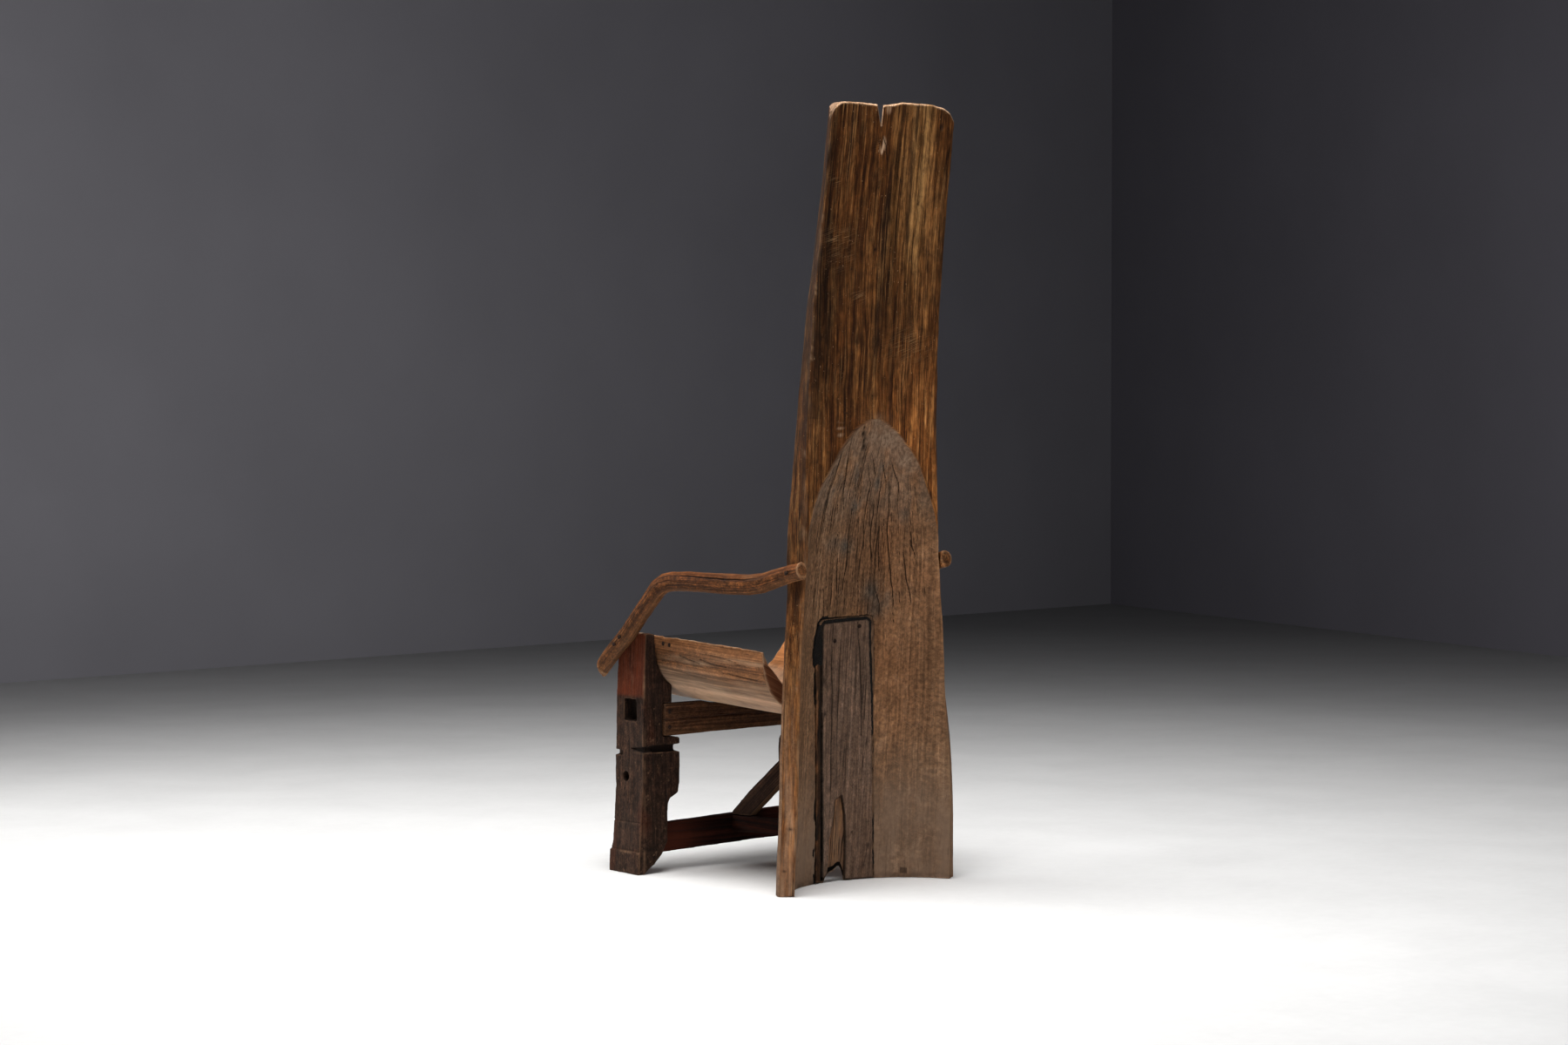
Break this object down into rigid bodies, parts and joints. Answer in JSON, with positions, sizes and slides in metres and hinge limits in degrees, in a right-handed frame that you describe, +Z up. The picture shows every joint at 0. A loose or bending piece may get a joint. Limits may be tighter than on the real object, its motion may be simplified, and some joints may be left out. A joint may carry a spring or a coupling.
{
  "type": "throne chair",
  "caption": "Rustic throne chair with a tall back hollowed from a split log, a trough shaped seat shell, reused posts as front legs and bent branches as arms.",
  "frame": {"origin": "on the floor, under the centre of the bounding box", "axes": "+Z up, the sitter faces -Y, the sitter's left is +X"},
  "size_m": [0.5826, 0.6571, 1.583],
  "materials": {
    "plank_wood": "aged dark brown softwood, hand worn",
    "board_wood": "dry grey brown weathered wood",
    "pitch": "rough matt black pitch",
    "arm_wood": "hand polished branch wood",
    "leg_wood": "very dark old oak, dull",
    "seat_wood": "warm brown adzed wood, worn rims",
    "rail_wood": "dark brown rough wood",
    "lower_rail_wood": "reddish dark brown wood",
    "brace_wood": "dark brown sawn wood",
    "old_iron": "dull wrought iron"
  },
  "bodies": {
    "root": {"back_plank": "plank_wood", "inset_board": "board_wood", "filler_strip": "board_wood", "pitch_caulking": "pitch", "left_arm": "arm_wood", "right_arm": "arm_wood", "left_front_leg": "leg_wood", "right_front_leg": "leg_wood", "seat_shell": "seat_wood", "upper_front_rail": "rail_wood", "lower_front_rail": "lower_rail_wood", "centre_stretcher": "brace_wood", "diagonal_brace": "brace_wood", "arm_back_nails": "old_iron", "arm_leg_nails": "old_iron", "seat_rim_nails": "old_iron", "seat_back_nails": "old_iron", "upper_rail_nails": "old_iron", "inset_nails": "old_iron", "brace_nails": "old_iron"}
  },
  "joints": []
}
